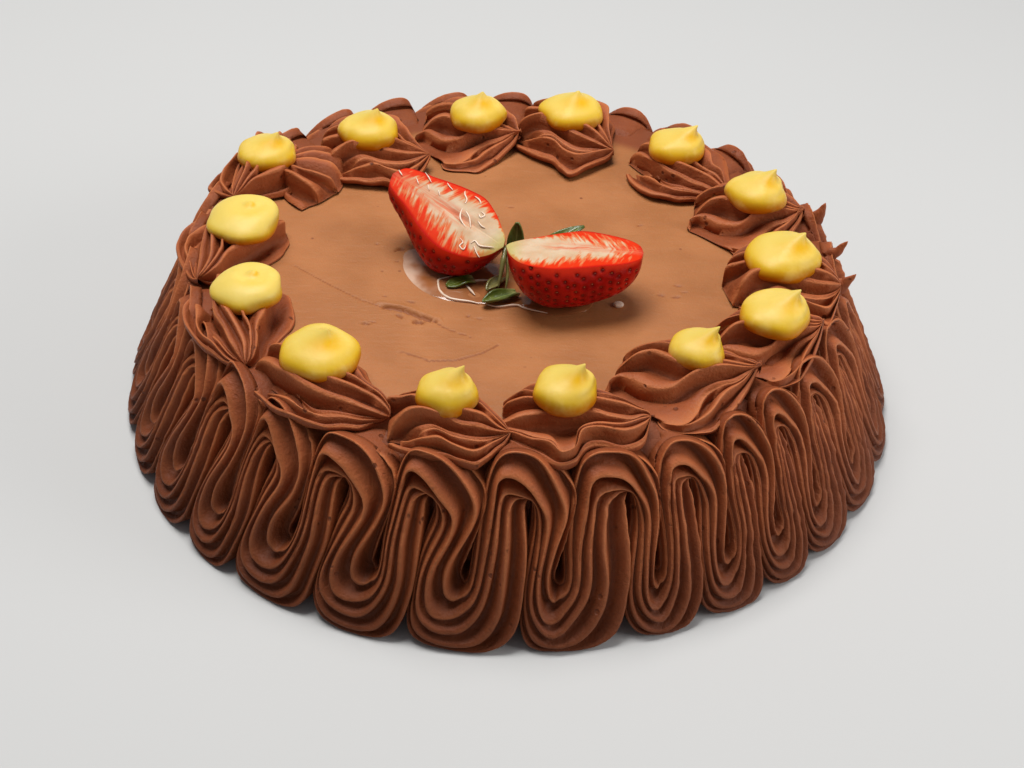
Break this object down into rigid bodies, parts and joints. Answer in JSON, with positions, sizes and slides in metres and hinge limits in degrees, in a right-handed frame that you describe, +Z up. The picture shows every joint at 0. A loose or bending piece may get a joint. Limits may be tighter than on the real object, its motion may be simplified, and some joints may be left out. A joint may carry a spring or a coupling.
{
  "type": "truffle cream cake",
  "caption": "Round truffle cream cake with a piped wavy side, a ring of piped shells with yellow cream drops, and a halved strawberry on top.",
  "frame": {"origin": "centre of the cake's flat underside", "axes": "+Z up, -Y towards the front that the picture shows, +X to the right of that front"},
  "size_m": [0.2522, 0.2572, 0.072],
  "materials": {
    "truffle_cream": "satin",
    "yellow_cream": "satin",
    "strawberry": "glossy",
    "calyx": "satin"
  },
  "bodies": {
    "root": {"cake_body": "truffle_cream", "side_piping": "truffle_cream", "top_shell_01": "truffle_cream", "top_shell_02": "truffle_cream", "top_shell_03": "truffle_cream", "top_shell_04": "truffle_cream", "top_shell_05": "truffle_cream", "top_shell_06": "truffle_cream", "top_shell_07": "truffle_cream", "top_shell_08": "truffle_cream", "top_shell_09": "truffle_cream", "top_shell_10": "truffle_cream", "top_shell_11": "truffle_cream", "top_shell_12": "truffle_cream", "top_shell_13": "truffle_cream", "top_shell_14": "truffle_cream", "start_swirl": "truffle_cream", "cream_drop_01": "yellow_cream", "cream_drop_02": "yellow_cream", "cream_drop_03": "yellow_cream", "cream_drop_04": "yellow_cream", "cream_drop_05": "yellow_cream", "cream_drop_06": "yellow_cream", "cream_drop_07": "yellow_cream", "cream_drop_08": "yellow_cream", "cream_drop_09": "yellow_cream", "cream_drop_10": "yellow_cream", "cream_drop_11": "yellow_cream", "cream_drop_12": "yellow_cream", "cream_drop_13": "yellow_cream", "cream_drop_14": "yellow_cream", "strawberry_left": "strawberry", "strawberry_right": "strawberry", "calyx_leaf_01": "calyx", "calyx_leaf_02": "calyx", "calyx_leaf_03": "calyx", "calyx_leaf_04": "calyx", "calyx_leaf_05": "calyx"}
  },
  "joints": []
}
